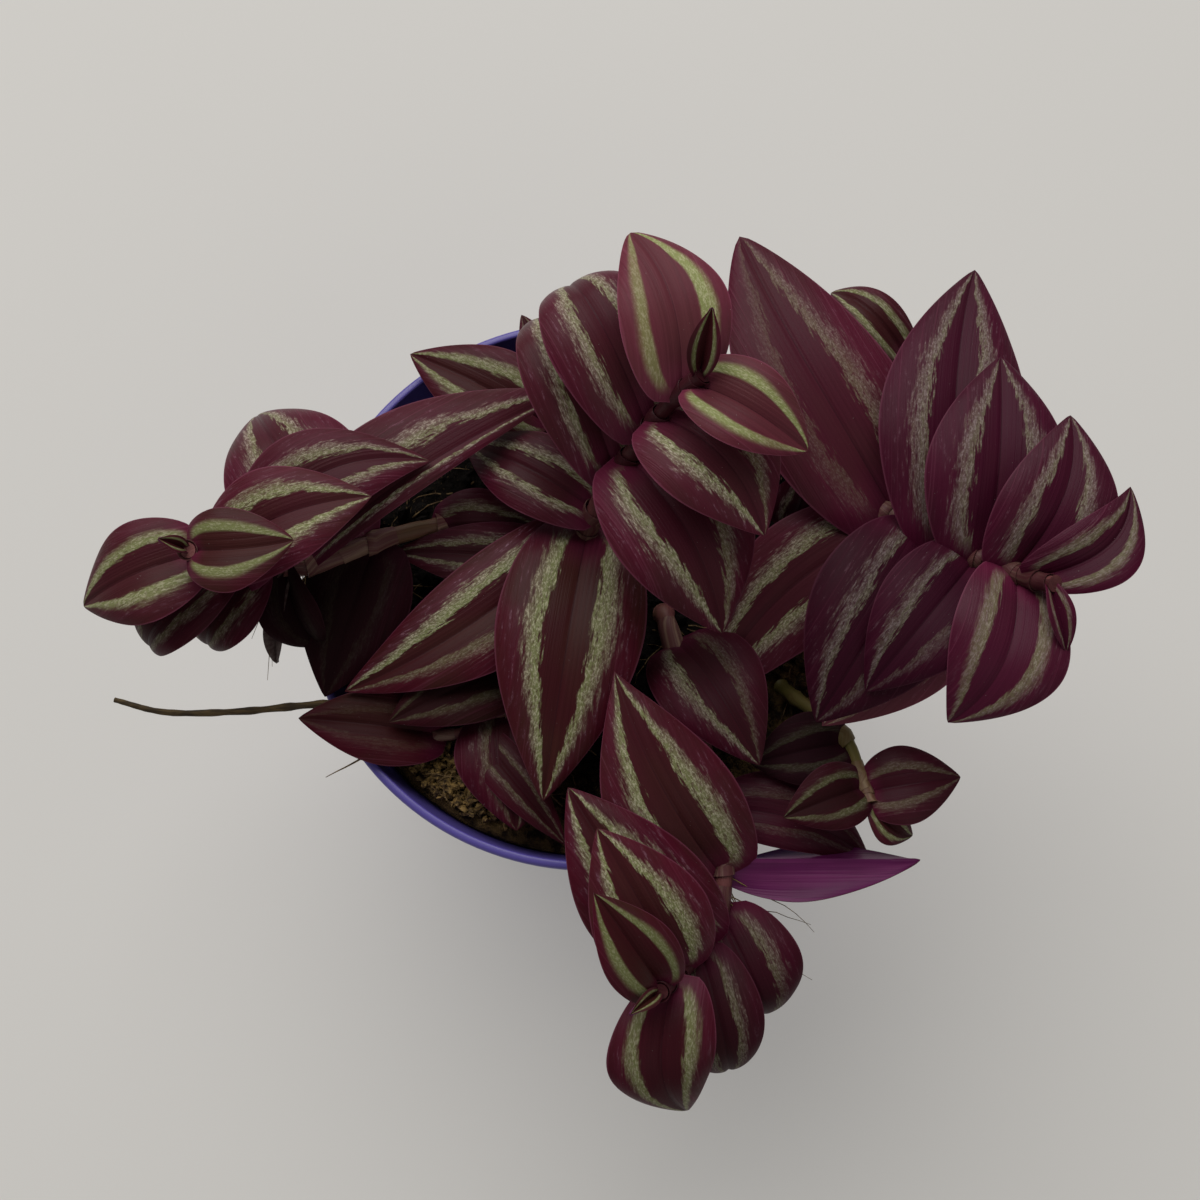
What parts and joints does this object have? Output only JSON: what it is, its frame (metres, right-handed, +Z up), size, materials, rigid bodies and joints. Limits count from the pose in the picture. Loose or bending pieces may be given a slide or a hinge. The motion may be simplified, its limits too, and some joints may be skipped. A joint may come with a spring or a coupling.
{
  "type": "potted tradescantia",
  "caption": "Trailing house plant with striped burgundy leaves on creeping stems, rooted in peat in a thin violet nursery pot.",
  "frame": {"origin": "centre of the pot's flat underside, on the surface it stands on", "axes": "+Z up; seen in the picture from above, +X to the right and +Y to the top of the picture"},
  "size_m": [0.1808, 0.155, 0.15],
  "materials": {
    "pot": "satin violet polypropylene",
    "soil": "matt crumbly peat",
    "stem": "satin pinkish green skin",
    "leaf": "satin burgundy leaf with silvery green stripes",
    "dry": "dry brown stalk"
  },
  "bodies": {
    "root": {"pot": "pot", "soil": "soil", "dry_stalk": "dry", "stem_left": "stem", "stem_back_left": "stem", "stem_top": "stem", "stem_right": "stem", "stem_back_right": "stem", "stem_front": "stem", "stem_low_right": "stem", "stem_front_left": "stem", "leaf_left_1": "leaf", "leaf_left_2": "leaf", "leaf_left_3": "leaf", "leaf_left_4": "leaf", "leaf_left_5": "leaf", "leaf_left_6": "leaf", "leaf_left_7": "leaf", "leaf_left_8": "leaf", "leaf_left_9": "dry", "leaf_back_left_1": "leaf", "leaf_top_1": "leaf", "leaf_top_2": "leaf", "leaf_top_3": "leaf", "leaf_top_4": "leaf", "leaf_top_5": "leaf", "leaf_top_6": "leaf", "leaf_top_7": "leaf", "leaf_top_8": "leaf", "leaf_top_9": "leaf", "leaf_top_10": "leaf", "leaf_right_1": "leaf", "leaf_right_2": "leaf", "leaf_right_3": "leaf", "leaf_right_4": "leaf", "leaf_right_5": "leaf", "leaf_right_6": "leaf", "leaf_right_7": "leaf", "leaf_right_8": "leaf", "leaf_right_9": "leaf", "leaf_right_10": "leaf", "leaf_right_11": "leaf", "leaf_back_right_1": "leaf", "leaf_front_1": "leaf", "leaf_front_2": "leaf", "leaf_front_3": "leaf", "leaf_front_4": "leaf", "leaf_front_5": "leaf", "leaf_front_6": "leaf", "leaf_front_7": "leaf", "leaf_front_8": "leaf", "leaf_front_9": "leaf", "leaf_front_10": "leaf", "leaf_low_right_1": "leaf", "leaf_low_right_2": "leaf", "leaf_low_right_3": "leaf", "leaf_low_right_4": "leaf", "leaf_front_left_1": "leaf", "leaf_front_left_2": "leaf", "leaf_front_left_3": "leaf"}
  },
  "joints": []
}
